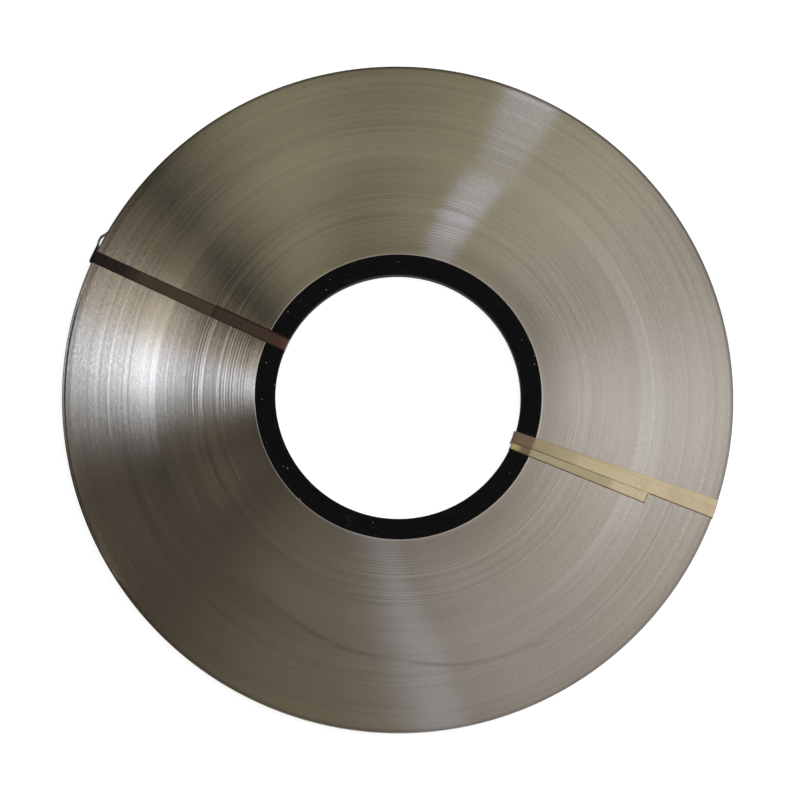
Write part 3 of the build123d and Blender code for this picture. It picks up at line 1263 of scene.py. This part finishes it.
@dataclass
class Studio:
    """Camera, lamps, dim surroundings and a white floor."""

    view_distance: float = 2.46
    lens: float = 181.5
    tilt_back: float = 6.95
    tilt_left: float = 1.40
    aim: Place = (1.0 * MM, -2.3 * MM, 10.7 * MM)
    floor_size: float = 30.0
    floor_grey: Colour = (0.3, 0.3, 0.3)
    floor_shown: float = 0.86
    white: Colour = (1.0, 1.0, 1.0)
    surroundings: Colour = (0.012, 0.011, 0.01)
    lamps: tuple[Lamp, ...] = (
        Lamp("right_panel", 9.0, 42.0, 1.3, 0.46, Tint.WARM),
        Lamp("right_high_panel", 9.0, 30.0, 0.7, 0.17, Tint.COOL),
        Lamp("right_top_panel", 0.0, 12.0, 1.3, 0.24, Tint.MAUVE, 0.5),
        Lamp("right_upper_panel", 15.0, 18.0, 0.7, 0.36, Tint.BLUE, 0.5),
        Lamp("right_back_panel", 45.0, 50.0, 0.7, 0.14, Tint.PLAIN),
        Lamp("back_right_panel", 63.0, 30.0, 1.3, 0.33, Tint.OLIVE),
        Lamp("back_panel", 99.0, 40.0, 0.7, 0.09, Tint.OLIVE),
        Lamp("back_left_panel", 108.0, 40.0, 0.7, 0.15, Tint.OLIVE),
        Lamp("left_back_panel", 134.0, 34.0, 0.25, 0.2, Tint.AMBER, 0.3),
        Lamp("left_warm_panel", 146.6, 30.0, 0.34, 1.0, Tint.WARM, 0.3),
        Lamp("left_low_panel", 158.0, 42.0, 0.25, 0.28, Tint.MAUVE, 0.3),
        Lamp("left_cool_panel", 158.0, 26.0, 0.25, 1.5, Tint.COOL, 0.3),
        Lamp("left_panel", 162.0, 26.0, 0.4, 1.28, Tint.PALE, 0.3),
        Lamp("left_edge_panel", 166.0, 42.0, 0.25, 0.08, Tint.AMBER, 0.3),
        Lamp("left_far_panel", 182.0, 50.0, 0.5, 0.53, Tint.AMBER, 0.3),
        Lamp("left_front_panel", 192.0, 36.0, 0.4, 0.075, Tint.AMBER, 0.3),
        Lamp("left_dim_panel", 206.0, 50.0, 0.5, 0.54, Tint.AMBER, 0.3),
        Lamp("front_left_panel", 243.0, 30.0, 1.3, 0.095, Tint.AMBER),
        Lamp("front_panel", 279.0, 42.0, 1.3, 0.12, Tint.OLIVE),
        Lamp("front_low_panel", 300.0, 50.0, 0.7, 0.06, Tint.MAUVE),
        Lamp("front_right_panel", 324.0, 40.0, 1.3, 0.33, Tint.WARM),
        Lamp("back_tube", 64.0, 56.0, 0.145, 0.69, Tint.BLUE, 0.54, 0.12),
        Lamp("front_tube", 288.0, 30.0, 0.13, 0.2, Tint.BLUE, 0.54, 0.12),
        Lamp("fill_panel", 20.0, 18.0, 3.0, 3.9, Tint.PALE, 3.0, 0.5, 2.4, mirrored=False),
    )

    def build(self) -> None:
        """Sets up the view, the light and the floor."""
        bpy.context.scene.view_settings.view_transform = "Standard"
        self._camera()
        for lamp in self.lamps:
            lamp.build()
        self._world()
        self._floor()

    def _camera(self) -> None:
        """Camera above the coil, a little to the front and left, upright along +Y."""
        data = bpy.data.cameras.new("camera")
        data.lens = self.lens
        camera = bpy.data.objects.new("camera", data)
        left, near = math.radians(self.tilt_left), math.radians(self.tilt_back)
        back = Vector((-math.tan(left), -math.tan(near), 1.0)).normalized()
        right = Vector((0.0, 1.0, 0.0)).cross(back).normalized()
        rotation = Matrix((right, back.cross(right), back)).transposed().to_4x4()
        camera.matrix_world = Matrix.Translation(Vector(self.aim) + back * self.view_distance) @ rotation
        bpy.context.scene.collection.objects.link(camera)
        bpy.context.scene.camera = camera

    def _world(self) -> None:
        """Dim warm room, with a white backdrop low on the horizon for what is seen or mirrored."""
        world = bpy.data.worlds.new("room")
        world.use_nodes = True
        bpy.context.scene.world = world
        sheet = NodeSheet(world.node_tree)
        rays = sheet.node("ShaderNodeLightPath").outputs
        height = sheet.parts(sheet.node("ShaderNodeTexCoord").outputs["Generated"])[2]
        low = sheet.step(height, 0.2, 0.08)
        shown = sheet.sum(Sum.MAXIMUM, rays["Is Glossy Ray"], rays["Is Transmission Ray"])
        shown = sheet.sum(Sum.MAXIMUM, sheet.times(shown, low), rays["Is Camera Ray"])
        colour = sheet.blend(shown, self.surroundings, self.white)
        sheet.feed(world.node_tree.nodes["Background"].inputs["Color"], colour)

    def _floor(self) -> None:
        """White floor that keeps a soft shadow, and is clear from below."""
        side = self.floor_size / 2
        mesh = bpy.data.meshes.new("floor")
        corners = [(-side, -side, 0.0), (side, -side, 0.0), (side, side, 0.0), (-side, side, 0.0)]
        mesh.from_pydata(corners, [], [(0, 1, 2, 3)])
        material, sheet, shader = new_material("floor_white")
        rays = sheet.node("ShaderNodeLightPath").outputs
        shown = sheet.sum(Sum.MAXIMUM, rays["Is Camera Ray"], rays["Is Glossy Ray"])
        shown = sheet.sum(Sum.MAXIMUM, shown, rays["Is Transmission Ray"])
        sheet.fill(shader, {
            "Base Color": self.floor_grey,
            "Roughness": 0.9,
            "Specular IOR Level": 0.0,
            "Emission Color": self.white,
            "Emission Strength": sheet.times(shown, self.floor_shown),
        })
        clear = sheet.node("ShaderNodeBsdfTransparent").outputs[0]
        behind = sheet.node("ShaderNodeNewGeometry").outputs["Backfacing"]
        mixed = sheet.node("ShaderNodeMixShader", {0: behind, 1: shader.outputs[0], 2: clear})
        sheet.feed(material.node_tree.nodes["Material Output"].inputs["Surface"], mixed.outputs[0])
        mesh.materials.append(material)
        floor = bpy.data.objects.new("floor", mesh)
        bpy.context.scene.collection.objects.link(floor)


# Brown film from the bore to the rim, with painted reflection that darkens towards the rim.
BROWN_REFLECTION_RUN = colour_run(
    (0.0, 90, 52, 48),
    (0.05, 65, 48, 36),
    (0.366, 58, 48, 36),
    (0.376, 42, 35, 28),
    (0.386, 68, 58, 42),
    (0.7, 64, 54, 38),
    (0.73, 69, 58, 40),
    (0.785, 52, 42, 34),
    (0.84, 40, 32, 26),
    (1.0, 26, 23, 21),
)

BROWN_FILM = FilmFinish(
    name="tape_brown",
    laps=(BROWN_REFLECTION_RUN,),
    cover=1.0,
    roughness=0.18,
    edge=seen(36, 28, 24),
    shade=seen(24, 18, 16),
    shine=0.12,
    wave=14.0 * MM,
)

STRAW_FILM = FilmFinish(
    name="tape_straw",
    laps=(
        colour_run(
            (0.0, 168, 162, 100),
            (0.03, 160, 150, 92),
            (0.05, 120, 98, 72),
            (0.09, 112, 90, 68),
            (0.1, 168, 155, 120),
            (0.49, 174, 160, 123),
            (0.52, 200, 184, 145),
            (0.672, 206, 190, 150),
            (0.681, 118, 97, 68),
        ),
        colour_run(
            (0.0, 108, 88, 70),
            (0.09, 114, 91, 70),
            (0.1, 154, 141, 107),
            (0.31, 178, 162, 123),
            (0.6, 204, 188, 148),
        ),
        colour_run(
            (0.1, 155, 142, 108),
            (0.3, 177, 161, 123),
            (0.32, 190, 173, 133),
            (0.6, 205, 189, 149),
            (1.0, 204, 181, 146),
        ),
    ),
    cover=0.95,
    roughness=0.18,
    edge=seen(98, 79, 55),
    shade=seen(42, 42, 30),
    wave=14.0 * MM,
    bubble=(146.8 * MM, -54.9 * MM, 0.0),
)


def brown_band() -> TieBand:
    """Dark brown band: its first lap from part way along the face, its second off the rim and over it.

    Returns:
        The band, with its loose tail.
    """
    first = FilmRun((
        (124.0, 10.75, -0.6), (75.6, 10.75, -0.4), (74.93, 10.0, -0.4), (74.93, 0.8, -0.4),
        (75.6, 0.09, -0.4), (204.0, 0.09, 0.0),
    ))
    second = FilmRun((
        (203.0, 0.03, 0.0), (205.3, 0.3, 0.0), (206.3, 3.0, 0.0), (206.6, 8.0, 0.0), (206.5, 10.8, 0.0),
        (204.5, 10.86, 0.0), (201.0, 10.75, 0.0), (126.0, 10.75, 0.0), (123.0, 10.82, 0.0),
        (75.5, 10.82, 0.0), (74.85, 10.1, 0.0), (74.85, 0.6, 0.0),
    ))
    tail = RimTail(155.5, 150.4, 205.0, 2.3, 2.6, 9.9)
    return TieBand("band_brown", "brown_tie_band", Slot.BROWN, 155.3, (first, second), tail)


def straw_band() -> TieBand:
    """Straw-coloured band: its first lap shows beside the second, and two windings fan apart at the rim.

    Returns:
        The band.
    """
    first = FilmRun((
        (163.5, 10.75, -9.1), (76.0, 10.75, -4.45), (74.9, 10.5, -4.4), (74.6, 8.0, -4.4),
        (74.6, 4.0, -4.4), (74.9, 0.8, -4.4), (76.5, 0.09, -4.4), (204.0, 0.09, -4.3),
    ))
    second = FilmRun((
        (76.5, 0.03, -4.2), (203.0, 0.03, 0.0), (205.1, 0.5, 0.0), (205.2, 10.2, 0.0), (204.6, 10.76, 0.0),
        (166.0, 10.75, 0.0), (162.0, 10.81, 0.0), (76.0, 10.81, -0.6), (74.6, 10.6, -0.6),
        (73.8, 8.5, -0.6), (73.7, 4.0, -0.6), (74.5, 1.0, -0.6),
    ), lap=1.0)
    third = FilmRun((
        (205.2, 0.6, -4.3), (205.3, 10.3, -4.3), (204.7, 10.82, -4.3), (166.0, 10.82, -2.75),
        (162.0, 10.87, -2.6), (88.0, 10.87, -0.35),
    ), lap=2.0, thickness=0.03)
    return TieBand("band_straw", "straw_tie_band", Slot.STRAW, 341.0, (first, second, third))


def main() -> None:
    """Builds the pieces in order, then the studio."""
    logging.basicConfig(level=logging.INFO, format="%(name)s %(message)s")
    effects = Effects()
    coil = StripCoil()
    core = CoreRing()
    coil.build(effects, NickelFinish())
    core.build(effects, CoreFinish())
    brown_band().build(BROWN_FILM.material(effects, core.bore_radius, coil.rim_radius))
    straw_band().build(STRAW_FILM.material(effects, core.bore_radius, coil.rim_radius))
    Studio().build()


if __name__ == "__main__":
    main()
